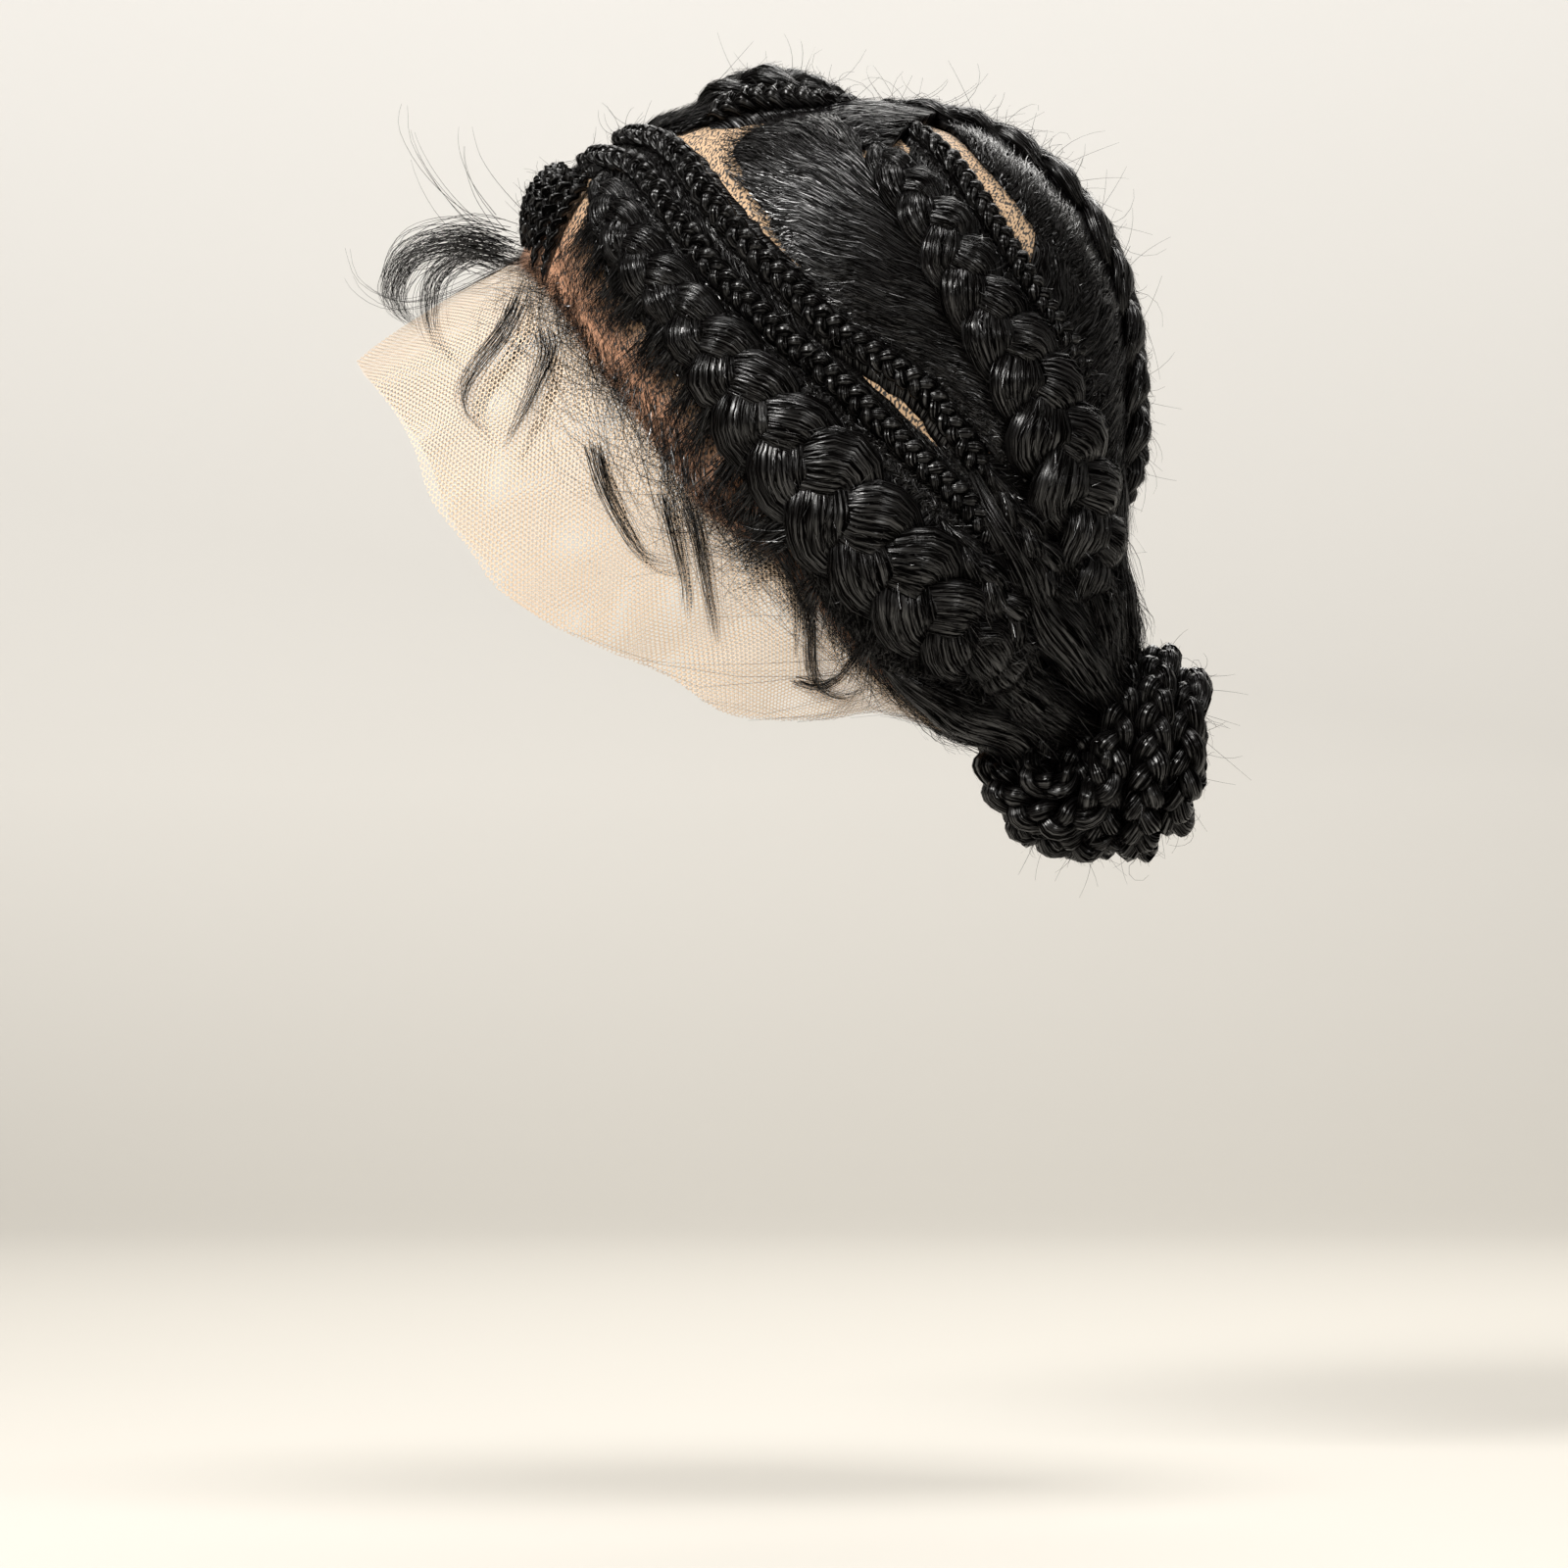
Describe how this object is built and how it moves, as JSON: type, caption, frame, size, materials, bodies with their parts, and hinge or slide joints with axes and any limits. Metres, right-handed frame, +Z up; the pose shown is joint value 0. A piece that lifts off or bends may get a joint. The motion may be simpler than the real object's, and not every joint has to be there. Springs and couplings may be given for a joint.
{
  "type": "braid wig",
  "caption": "Full lace wig with cornrow braids, thin rows and combed panels gathered into a coiled nape bun, on a lace dome with an uncut front lace margin.",
  "frame": {"origin": "crown seat, inside the top of the lace dome, where a head's crown touches it", "axes": "-Y to the front (the forehead), +X to the wig's left side, +Z up"},
  "size_m": [0.1738, 0.2813, 0.259],
  "materials": {
    "lace": "matte open net",
    "hair": "soft sheen, strands"
  },
  "bodies": {
    "root": {"back_hair_left": "hair", "back_hair_right": "hair", "back_row_left": "hair", "back_row_right": "hair", "bun_coil_1": "hair", "bun_coil_2": "hair", "bun_coil_3": "hair", "bun_coil_4": "hair", "bun_coil_5": "hair", "bun_coil_6": "hair", "bun_core": "hair", "centre_braid": "hair", "combed_panel_left": "hair", "combed_panel_right": "hair", "crown_braid": "hair", "crown_hair": "hair", "crown_row_left": "hair", "crown_row_right": "hair", "forehead_row_centre": "hair", "forehead_row_left_1": "hair", "forehead_row_left_2": "hair", "forehead_row_left_3": "hair", "forehead_row_right_1": "hair", "forehead_row_right_2": "hair", "forehead_row_right_3": "hair", "front_braid_left": "hair", "front_braid_right": "hair", "lace_base": "lace", "lower_row_left": "hair", "lower_row_right": "hair", "nape_hair_centre": "hair", "nape_hair_left": "hair", "nape_hair_right": "hair", "rear_braid_left": "hair", "rear_braid_right": "hair", "side_hair_left": "hair", "side_hair_right": "hair", "upper_row_left": "hair", "upper_row_right": "hair"}
  },
  "joints": []
}
